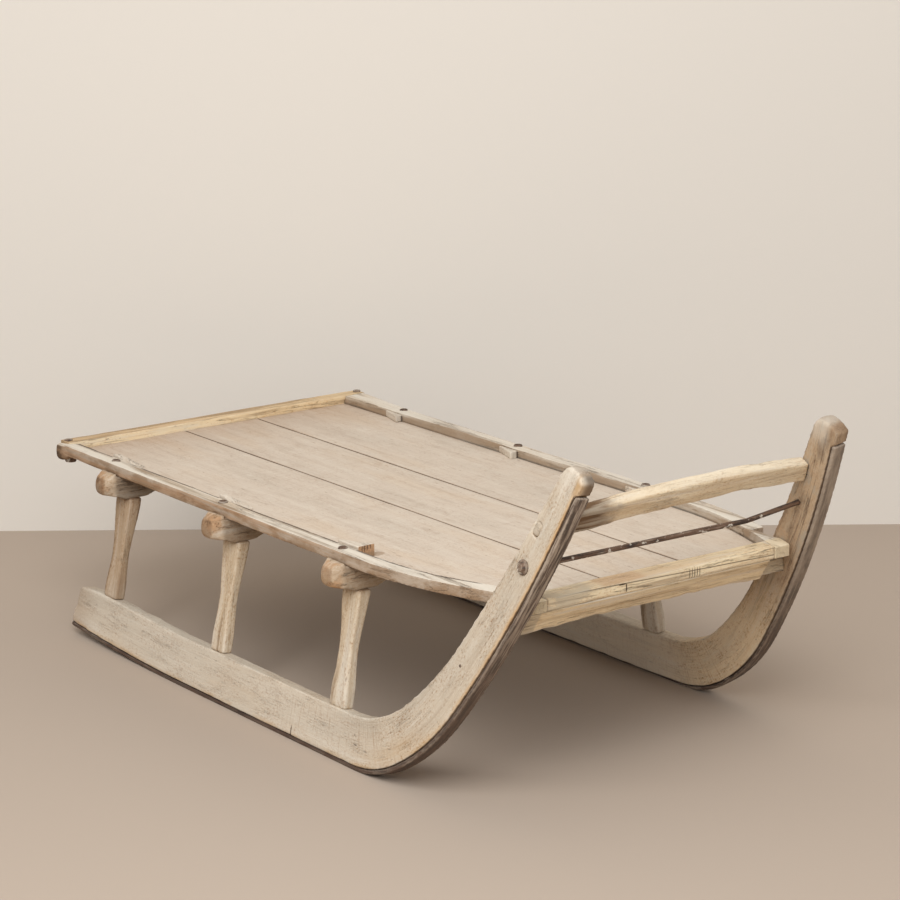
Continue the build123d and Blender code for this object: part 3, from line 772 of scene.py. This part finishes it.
class SLEIGH_OT_posts(SleighMaker, bpy.types.Operator):
    """Build the six tapered posts"""
    bl_idname = "sleigh.posts"
    bl_label = "Posts"

    def execute(self, context):
        material = post_wood()
        for name, side in SIDES.items():
            for number in (1, 2, 3):
                self.post("post_%s_%d" % (name, number), number, side, material)
        return {"FINISHED"}

    def post(self, node, number, side, material):
        """A post, hollowed below its middle."""
        bm = shape_of(node)
        ends = [[v.co for v in bm.verts if low < v.co.z < high] for low, high in POST_ENDS]
        low, high = (sum(spots, Vector()) / len(spots) for spots in ends)
        bm.free()
        way = (high - low).normalized()
        wide = (Vector((1, 0, 0)) - way * way.x).normalized()
        thick = way.cross(wide)

        def lies(co):
            return ((co - low).dot(way) + number, (co - low).dot(wide) + number * 0.3,
                    (co - low).dot(thick))

        def lift(co):
            rise = clamp((co.z - POST_FOOT) / POST_SPAN)
            hollow = wear().waist * sin(pi * rise ** 0.8) ** 2 - POST_SPARE
            return sum((axis * -hollow * share * max(-1, min(1, (co - low).dot(axis) / half))
                        for axis, half, share in ((wide, POST_HALF_WIDTH, 1.0),
                                                  (thick, POST_HALF_DEPTH, 0.5))), Vector())

        timber(node, FINE, (lies, always(way)), material, "post_wood", number + side * 0.5,
               rounding=wear().post_edge, sway=1.3, ridge=1.6, before=lambda bm: lift)


def bolster_wood(number):
    """A bolster's wood: painted shade and dark patina under the rails, with orange heads."""
    wood = Wood("bolster_timber_%d" % number, "bolster", 5.0 + number, contrast=0.8,
                gold=0.3, silver=0.3, blots=0.5, mottle=0.5)
    reach = abs(wood.along) + wood.blotches * 0.004
    wood.lay("bolster", wood.worn * 0.6)
    # painted shade of the rails with dark patina: darkest under the rails, up to the heads
    shade_and_patina = reach.between(0.367, 0.354) * (reach.between(0.24, 0.34) * 0.4 + 0.35)
    wood.lay("dark", shade_and_patina * (0.85 - 0.14 * number))
    wood.lay("orange", reach.between(0.362, 0.37) * wood.blotches.between(0.44, 0.6) * 0.6)
    wood.lay("brown", wood.ends * wood.blotches.between(0.35, 0.6) * 0.35)
    wood.lay("dark", wood.ends * wood.blotches.between(0.54, 0.62) * 0.45)
    return wood.done()


class SLEIGH_OT_bolsters(SleighMaker, bpy.types.Operator):
    """Build the three cross timbers with rounded heads"""
    bl_idname = "sleigh.bolsters"
    bl_label = "Bolsters"

    def execute(self, context):
        for number in (1, 2, 3):
            timber("bolster_%d" % number, FINE, CROSSWAYS, bolster_wood(number),
                   "bolster_wood", number, sway=1.4, ridge=1.8, before=self.round_heads)
        return {"FINISHED"}

    def round_heads(self, bm):
        """Wears both heads round, without shortening the bolster."""
        def head(co):
            return (abs(co.y) - HEAD_NECK) / HEAD_WEAR

        for vert in bm.verts:
            vert.co.y += copysign(HEAD_SPARE * clamp(head(vert.co)), vert.co.y)
        soften(bm, head, 35)


# --- deck and rails ---

BOARD_CUTS = (0.016, 0.009, 0)    # how closely a board is cut up to be carved
SEAMS_WITHIN = 0.2        # of the middle: board edges that meet another board
RAILS = ("side_rail_right", "side_rail_left", "rear_rail", "front_rail")
RAIL_FRONT = 0.605        # where the side rails' pale front ends start
# the right rail's inner edge: straight to here, then bowed round a hub on the other side
BOW_START, BOW_HUB, RAIL_INNER = 0.25, 0.408, 0.32
BOLSTERS_AT = (-0.55, -0.17, 0.211)
# the knob at its rear end: what is below this level drops, what is outside this bulges
KNOB_START, KNOB_LENGTH, KNOB_DROP, KNOB_BULGE = -0.722, 0.024, 0.015, 0.004
KNOB_LEVEL, KNOB_OUTSIDE = 0.352, -0.34
# the hooked crack, the splits and the five saw nicks in the front rail's face: where
# across and up it each is, its half sizes and its strength
FRONT_FACE, MARK_DEPTH = 0.648, 0.02
FRONT_MARKS = ((-0.0825, 0.3555, 0.0013, 0.0075, 0.9), (-0.091, 0.3622, 0.008, 0.0013, 0.9),
               (-0.271, 0.350, 0.0018, 0.009, 0.9), (-0.2545, 0.3505, 0.003, 0.0015, 0.7),
               *((0.054 + n * 0.0055, 0.354, 0.0009, 0.01, 0.75) for n in range(5)))


def board_wood(name, number):
    """A deck board's wood: scrubbed, faintly sawn, with painted shade in its seams and
    underneath.
    """
    wood = Wood("board_" + name, "deck", 10.0 + number, contrast=0.26, gold=0.14,
                silver=0.14, blots=0.16, flecks=0.15, splits=0.06)
    flecks = wood.pattern((42.0, 130.0, 130.0), 2.0)
    wood.lay("brown", flecks.between(0.68, 0.76) * 0.45)
    clouds = wood.pattern((11.0, 60.0, 60.0), 4.0, 0.6)
    wood.lay("brown", clouds.between(0.52, 0.7) * 0.16)
    wood.lay("bleached", clouds.between(0.46, 0.3) * 0.25)
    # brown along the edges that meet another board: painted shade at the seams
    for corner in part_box("deck_board_" + name):
        if abs(corner[1]) < SEAMS_WITHIN:
            wood.lay("brown", wood.across.near(corner[1], 0.0018) * 0.6)
    wood.saw(0.22)
    # sides and undersides dark: painted shade in the seams and under the deck
    wood.lay("dark", wood.top.between(0.5, 0.1) * 0.8)
    wood.stain("brown", 1.7, wood.along.between(-0.5, -0.8) * 0.35)
    if name == "right":
        wood.lay("orange", wood.across.between(-0.303, -0.319)
                 * wood.blotches.between(0.36, 0.56) * 0.75)
        wood.mark((0.216, -0.279, 0.349), (0.012, 0.016, 0.01), 0.6, "brown")
    wood.relief = 0.0008
    return wood.done()


class SLEIGH_OT_deck(SleighMaker, bpy.types.Operator):
    """Build the deck boards"""
    bl_idname = "sleigh.deck"
    bl_label = "Deck boards"

    def execute(self, context):
        for number, name in enumerate(("right", "middle", "left")):
            bm = shape_of("deck_board_" + name)
            ease(bm, wear().board_edge, segments=2)
            slice_up(bm, BOARD_CUTS)
            carve(bm, LENGTHWAYS, wear().sway * 0.5, wear().ridge * 0.4, number + 20)
            piece(bm, "deck_board_" + name, board_wood(name, number), "deck_wood")
        return {"FINISHED"}


def rail_wood(node, number):
    """A rail's wood: whitened along the sides, orange or golden across the ends."""
    wood = Wood(node + "_timber", "rail" if number < 2 else "beam", 7.0 + number,
                contrast=0.9, gold=0.25, silver=0.3, blots=0.4, flecks=0.5, mottle=0.5)
    upper = wood.top.between(0.5, 0.85)
    if number < 2:
        side_rim(wood, upper, 1 - upper, -1 if number == 0 else 1)
        return wood.done()
    wood.lay("orange", upper * wood.broad.between(0.62, 0.4) * 0.35)
    if node == "front_rail":
        weathered_front(wood)
        return wood.done()
    wood.lay("gold", upper * 0.4)
    wood.lay("brown", upper * wood.streaks.between(0.4, 0.6) * 0.7)
    wood.lay("gold", (1 - upper) * wood.broad.between(0.35, 0.6) * 0.35)
    wood.lay("brown", (1 - upper) * wood.streaks.between(0.5, 0.62) * 0.5)
    return wood.done()


def side_rim(wood, upper, faces, side):
    """Whitened tops, brown sides, and painted shade along the inner edge towards the deck."""
    streaks, blotches = wood.streaks, wood.blotches
    wood.lay("bleached", upper * streaks.between(0.56, 0.4) * 0.65)
    wood.lay("grey", upper * streaks.between(0.5, 0.62) * 0.45)
    wood.lay("brown", upper * streaks.between(0.57, 0.66) * 0.6)
    wood.lay("brown", faces * (blotches.between(0.4, 0.6) * 0.35 + (0.5 if side < 0 else 0.2)))
    # painted shade: dark low on the faces turned inboard, where the rail meets the deck
    inward = wood.facing()[1].between(0.5 * -side, 0.8 * -side)
    wood.lay("dark", inward * wood.through.between(0.3525, 0.3505) * 0.7)
    if side > 0:
        wood.lay("grey", inward * 0.35)
        wood.lay("brown", inward * streaks.between(0.42, 0.58) * 0.55)
    else:
        right_rim(wood, upper, faces)
    wood.lay("beam", wood.along.between(RAIL_FRONT - 0.007, RAIL_FRONT + 0.007) * 0.7)


def right_rim(wood, upper, faces):
    """The right rail's ruddy rear, a painted shadow line along its bow, and its knob."""
    streaks, blotches = wood.streaks, wood.blotches
    ruddy = faces * wood.along.between(0.35, 0.1)
    wood.lay("orange", ruddy * streaks.between(0.42, 0.54) * 0.45)
    wood.lay("dark", ruddy * streaks.between(0.56, 0.66) * 0.5)
    under = faces * wood.through.between(0.356, 0.349)
    wood.lay("brown", under * blotches.between(0.38, 0.55) * 0.6)
    # painted shadow: a dark line on the top along the bowed inner edge, left out beside the
    # chocks
    bow = wood.math("MAXIMUM", wood.along - BOW_START, 0.0)
    hub = wood.across - BOW_HUB
    inset = wood.math("SQRT", bow * bow + hub * hub) - BOW_HUB - RAIL_INNER
    free = 1 - sum(wood.along.within(at - 0.045, at + 0.012, 0.004) for at in BOLSTERS_AT)
    painted_shadow_line = inset.between(0.0068, 0.0042) * upper * free
    wood.lay("dark", painted_shadow_line * blotches.between(0.3, 0.5) * 0.8)
    knob = wood.along.between(-0.735, -0.75) * faces
    wood.lay("brown", knob * 0.8)
    wood.lay("orange", knob * blotches.between(0.52, 0.4) * 0.5)
    wood.lay("dark", knob * blotches.between(0.48, 0.6) * 0.7)


def weathered_front(wood):
    """Light grey ends, wavy dark streaks and saw marks on the front rail."""
    wood.lay("bleached", abs(wood.along).between(0.243, 0.249) * 0.55)
    face = 1 - wood.top.between(0.5, 0.8)
    wood.waves(120.0, face * 0.45)
    right = wood.along.between(-0.13, -0.16)
    wood.lay("grey", right * wood.blotches.between(0.6, 0.45) * 0.45)
    wood.lay("fresh", wood.along.within(-0.13, -0.04, 0.008) * (1 - face) * 0.4)
    groove = (wood.through + wood.along * 0.03).near(0.3603, 0.0018)
    wood.lay("dark", groove * face * wood.streaks.between(0.3, 0.5) * 0.8)
    for y, z, wide, high, amount in FRONT_MARKS:
        wood.mark((FRONT_FACE, y, z), (MARK_DEPTH, wide, high), amount)


class SLEIGH_OT_rails(SleighMaker, bpy.types.Operator):
    """Build the rim of rails round the deck"""
    bl_idname = "sleigh.rails"
    bl_label = "Rails"

    def execute(self, context):
        for number, node in enumerate(RAILS):
            timber(node, FINE, LENGTHWAYS if number < 2 else CROSSWAYS,
                   rail_wood(node, number), "rail_wood", number + 11, ridge=1.3,
                   before=None if number else self.knob)
        return {"FINISHED"}

    def knob(self, bm):
        """Swells the right rail's rear end down to a knob, and wears it round."""
        def end(co):
            return clamp((KNOB_START - co.x) / KNOB_LENGTH)

        for vert in bm.verts:
            if vert.co.z < KNOB_LEVEL:
                vert.co.z -= KNOB_DROP * end(vert.co)
            if vert.co.y < KNOB_OUTSIDE:
                vert.co.y -= KNOB_BULGE * end(vert.co)
        soften(bm, end, 16)


# --- beams across the front ---

CELL = 0.012              # of the search for a beam's lowest points


def ragged(amount, reach, seed):
    """Makes the lower edges of a crosswise beam waney, and its underside uneven."""
    def of(bm):
        low = {}
        for vert in bm.verts:
            key = round(vert.co.y / CELL)
            low[key] = min(low.get(key, 1.0), vert.co.z)

        def lift(co):
            share = max(0.0, 1 - (co.z - low[round(co.y / CELL)]) / reach)
            wave = noise.noise(Vector((co.y * 17, seed, 0.5)))
            chip = noise.noise(Vector((co.y * 60, co.x * 40, seed)))
            return Vector((0, 0, amount * share * (max(0.0, wave + 0.2) + 0.4 * chip)))
        return lift
    return of


def crossbeam_wood():
    """The crossbeam's wood: golden, with brown waves and grey ends."""
    wood = Wood("crossbeam_timber", "beam", 12.0, gold=0.4, silver=0.1, blots=0.35,
                mottle=0.4)
    wood.waves(90.0, 0.5)
    wood.lay("bleached", wood.streaks.between(0.5, 0.36) * 0.4)
    wood.lay("gold", wood.top.between(-0.1, -0.6) * 0.2)
    wood.lay("bleached", wood.worn * 0.5)
    wood.lay("grey", abs(wood.along).between(0.252, 0.258) * 0.5)
    return wood.done()


def crossbar_wood():
    """The crossbar's wood: golden on the left, dull on the right, with pale tenons."""
    wood = Wood("crossbar_timber", "bar", 13.0, contrast=0.9, gold=0.4, silver=0.12,
                blots=0.4, splits=0.3, mottle=0.5)
    wood.lay("bleached", wood.top.between(0.35, 0.8) * 0.25)
    dull = (wood.along + wood.blotches * 0.1 + wood.streaks * 0.08).between(-0.05, -0.09)
    wood.lay("grey", dull * 0.8)
    wood.lay("brown", dull * 0.3)
    wood.stain("brown", 1.2, dull * wood.streaks.between(0.35, 0.55) * 0.9)
    wood.lay("runner", abs(wood.along).between(0.268, 0.272) * 0.8)
    return wood.done()


class SLEIGH_OT_beams(SleighMaker, bpy.types.Operator):
    """Build the front crossbeam and the bowed bar above it"""
    bl_idname = "sleigh.beams"
    bl_label = "Crossbeam and crossbar"

    def execute(self, context):
        for node, wood, slot, reach in (
                ("front_crossbeam", crossbeam_wood(), "beam_wood", 0.03),
                ("top_crossbar", crossbar_wood(), "bar_wood", 0.016)):
            timber(node, FINE, CROSSWAYS, wood, slot, len(node), sway=1.6, ridge=2.2,
                   before=ragged(wear().rag, reach, len(node) * 0.7))
        return {"FINISHED"}


# --- ironwork, pegs and chocks ---

NUT_SPREAD = (1.7, 1.5, 1.0)      # of the right corner bolt's nut, under the knob
NUT_MOVE = (0.006, 0, -0.010)
FEATHERED = ("chock_right_1", "chock_right_2")    # chocks split away to a feather edge
FEATHER, FEATHER_DROP = 0.045, 0.85    # how long that slope is, and how much it takes off
CHOCK_EDGE = 0.0015       # rounding of the chocks' corners
PEG_CUTS = (0.004, 0.004, 0.004)    # how closely the pegs, the rod and the bolts are cut up
ROD_CUTS = (0, 0.006, 0)
BOLT_CUTS = (0, 0, 0.004)


def rod_iron():
    """The rod's iron, brown and speckled white, with dust on its riveted heads."""
    iron = Iron("rod_forging", "rod", 0.5, 4.0)
    heads = abs(iron.parts(iron.place())[1]).between(0.3, 0.306)
    iron.lay("dust", heads * iron.ends * iron.coarse.between(0.35, 0.6) * 0.6)
    specks = iron.pattern((70.0, 90.0, 90.0), shift=(0, 0, 0))
    iron.lay("bleached", specks.between(0.6, 0.66) * 0.75)
    return iron.done()


class SLEIGH_OT_ironwork(SleighMaker, bpy.types.Operator):
    """Build the tie rod and the corner bolts"""
    bl_idname = "sleigh.ironwork"
    bl_label = "Tie rod and bolts"

    def execute(self, context):
        iron = rod_iron()
        for node, cuts, grain in (("tie_rod", ROD_CUTS, CROSSWAYS),
                                  ("corner_bolt_right", BOLT_CUTS, UPRIGHT),
                                  ("corner_bolt_left", BOLT_CUTS, UPRIGHT)):
            bm = shape_of(node)
            ease(bm, wear().iron_edge * 0.7, segments=2)
            slice_up(bm, cuts)
            if node == "corner_bolt_right":
                nut = [v for v in bm.verts if v.co.z < KNOB_LEVEL]
                axis = sum((v.co for v in nut), Vector()) / len(nut)
                bmesh.ops.scale(bm, vec=NUT_SPREAD, verts=nut,
                                space=Matrix.Translation(-axis))
                bmesh.ops.translate(bm, vec=NUT_MOVE, verts=nut)
            carve(bm, grain, wear().pitting, wear().pitting * 0.6, 3)
            piece(bm, node, iron, "rod_iron")
        return {"FINISHED"}


def chock_wood():
    """The chocks' wood, bleached on its ends, with painted shade on the left ones' ends next
    to the rail.
    """
    wood = Wood("chock_timber", "rail", 9.0, contrast=0.7, gold=0.35, silver=0.15, mottle=0.5)
    wood.lay("bleached", wood.ends * 0.6)
    # painted shade: dark on the left chocks' ends, along the edge next to the rail
    wood.lay("dark", wood.ends * wood.across.between(0.313, 0.317) * 0.85)
    return wood.done()


def ribbed_wood():
    """The front right chock's wood, with orange ends, dark ribs and painted shadow low on its
    ends.
    """
    wood = Wood("ribbed_chock_timber", "rail", 9.5, contrast=0.8, gold=0.5, silver=0.1)
    ribs = wood.pattern((30.0, 420.0, 60.0), 2.0)
    wood.lay("orange", wood.ends * 0.75)
    wood.lay("dark", wood.ends * ribs.between(0.5, 0.62) * 0.8)
    # painted shadow: brown on the lower part of its ends
    wood.lay("brown", wood.ends * wood.through.between(0.359, 0.356) * 0.9)
    return wood.done()


class SLEIGH_OT_pegs(SleighMaker, bpy.types.Operator):
    """Build the pegs through the rails and the chocks beside them"""
    bl_idname = "sleigh.pegs"
    bl_label = "Pegs and chocks"

    def execute(self, context):
        chock, ribbed = chock_wood(), ribbed_wood()
        peg = Wood("peg_end", "peg", 8.0, contrast=0.6, gold=0.0, silver=0.0).done()
        for name in SIDES:
            for number in (1, 2, 3):
                node = "peg_%s_%d" % (name, number)
                bm = shape_of(node)
                ease(bm, wear().iron_edge)
                slice_up(bm, PEG_CUTS)
                carve(bm, UPRIGHT, wear().pitting, wear().ridge, number)
                piece(bm, node, peg, "peg_wood")
                node = "chock_%s_%d" % (name, number)
                timber(node, TINY, LENGTHWAYS, ribbed if node == "chock_right_3" else chock,
                       "rail_wood", number + 3, rounding=CHOCK_EDGE, ridge=1.6,
                       before=self.feathered if node in FEATHERED else None)
        return {"FINISHED"}

    def feathered(self, bm):
        """Slopes a chock down to the deck at its front."""
        front = max(v.co.x for v in bm.verts)
        foot = min(v.co.z for v in bm.verts)
        for vert in bm.verts:
            share = max(0.0, 1 - (front - vert.co.x) / FEATHER)
            vert.co.z = foot + (vert.co.z - foot) * (1 - FEATHER_DROP * share)


# --- stage ---

HEADING = radians(53.52)      # of the camera, which the wall and the lamp follow
CAMERA_AT = (4.175, -3.047, 1.748)
CAMERA_DOWN, CAMERA_ROLL = radians(14.14), radians(-0.44)
CAMERA_LENS = 117.5
WALL_AT = (0, 1.07, 0)        # to the right, ahead and up, in that heading
LAMP_AT = Vector((-0.5, -3.3, 3.2))
LAMP_AIM = Vector((0, 0, 0.2))
LAMP_SIZE, LAMP_COLOUR = 2.8, (0.98, 0.99, 1.0)
SHEET = 12.0                  # size of the floor and the wall


def plain_paint(name, colour):
    """A matt paint, clear from behind, so that the sleigh shows from every side."""
    paint = Paint(name)
    surface = paint.add("ShaderNodeBsdfPrincipled", None,
                        {"Base Color": rgba(colour), "Roughness": 0.9,
                         "Specular IOR Level": 0.1})
    clear = paint.add("ShaderNodeBsdfTransparent")
    behind = paint.add("ShaderNodeNewGeometry", None, output=6)
    return paint.close(paint.add("ShaderNodeMixShader", None,
                                 {0: behind, 1: surface, 2: clear}))


class SLEIGH_OT_stage(SleighMaker, bpy.types.Operator):
    """Set out the floor, the wall, the lamps and the camera"""
    bl_idname = "sleigh.stage"
    bl_label = "Stage"

    def execute(self, context):
        scene = context.scene
        stage = scene.sleigh_stage
        turned = Matrix.Rotation(HEADING, 4, "Z")
        data = bpy.data.cameras.new("camera")
        data.sensor_width = 36.0
        data.lens = CAMERA_LENS
        data.clip_end = 100.0
        scene.camera = self.put("camera", data, Matrix.Translation(CAMERA_AT) @ turned
                                @ Matrix.Rotation(pi / 2 - CAMERA_DOWN, 4, "X")
                                @ Matrix.Rotation(CAMERA_ROLL, 4, "Z"))
        against = turned @ Matrix.Translation(WALL_AT) @ Matrix.Rotation(pi / 2, 4, "X")
        for name, colour, place in (("floor", stage.floor, Matrix.Identity(4)),
                                    ("wall", stage.wall, against)):
            bm = bmesh.new()
            bmesh.ops.create_grid(bm, x_segments=1, y_segments=1, size=SHEET)
            bmesh.ops.transform(bm, matrix=place, verts=bm.verts)
            make_object(bm, name, plain_paint(name + "_paint", colour))

        world = bpy.data.worlds.new("room")
        scene.world = world
        world.use_nodes = True
        light = world.node_tree.nodes["Background"].inputs
        light["Color"].default_value = rgba(stage.air)
        light["Strength"].default_value = stage.sky
        lamp = bpy.data.lights.new("key", "AREA")
        lamp.shape = "SQUARE"
        lamp.size = LAMP_SIZE
        lamp.energy = stage.key
        lamp.color = LAMP_COLOUR
        place = turned @ LAMP_AT
        self.put("key", lamp, stand(place, place - LAMP_AIM))
        scene.view_settings.view_transform = "Standard"
        return {"FINISHED"}

    def put(self, name, data, matrix):
        """Stands a camera or a lamp in its place."""
        made = bpy.data.objects.new(name, data)
        bpy.context.scene.collection.objects.link(made)
        made.matrix_world = matrix
        return made


class SLEIGH_PT_panel(bpy.types.Panel):
    """Sleigh pieces, sizes and colours"""
    bl_idname = "SLEIGH_PT_panel"
    bl_label = "Working Sleigh"
    bl_space_type = "VIEW_3D"
    bl_region_type = "UI"
    bl_category = "Sleigh"

    def draw(self, context):
        layout = self.layout
        for maker in MAKERS:
            layout.operator(maker.bl_idname)
        for name, kind in GROUPS.items():
            box = layout.box()
            for size in kind.__annotations__:
                box.prop(getattr(context.scene, name), size)


MAKERS = (SLEIGH_OT_runners, SLEIGH_OT_shoes, SLEIGH_OT_posts, SLEIGH_OT_bolsters,
          SLEIGH_OT_deck, SLEIGH_OT_rails, SLEIGH_OT_beams, SLEIGH_OT_ironwork,
          SLEIGH_OT_pegs, SLEIGH_OT_stage)
GROUPS = {"sleigh_wear": SleighWear, "sleigh_colours": SleighColours,
          "sleigh_stage": SleighStage}


def register():
    for kind in (*GROUPS.values(), *MAKERS, SLEIGH_PT_panel):
        bpy.utils.register_class(kind)
    for name, kind in GROUPS.items():
        setattr(bpy.types.Scene, name, PointerProperty(type=kind))


def unregister():
    for name in GROUPS:
        delattr(bpy.types.Scene, name)
    for kind in reversed((*GROUPS.values(), *MAKERS, SLEIGH_PT_panel)):
        bpy.utils.unregister_class(kind)


def main():
    register()
    for maker in MAKERS:
        group, name = maker.bl_idname.split(".")
        getattr(getattr(bpy.ops, group), name)()
    bpy.context.view_layer.update()


if __name__ == "__main__":
    main()
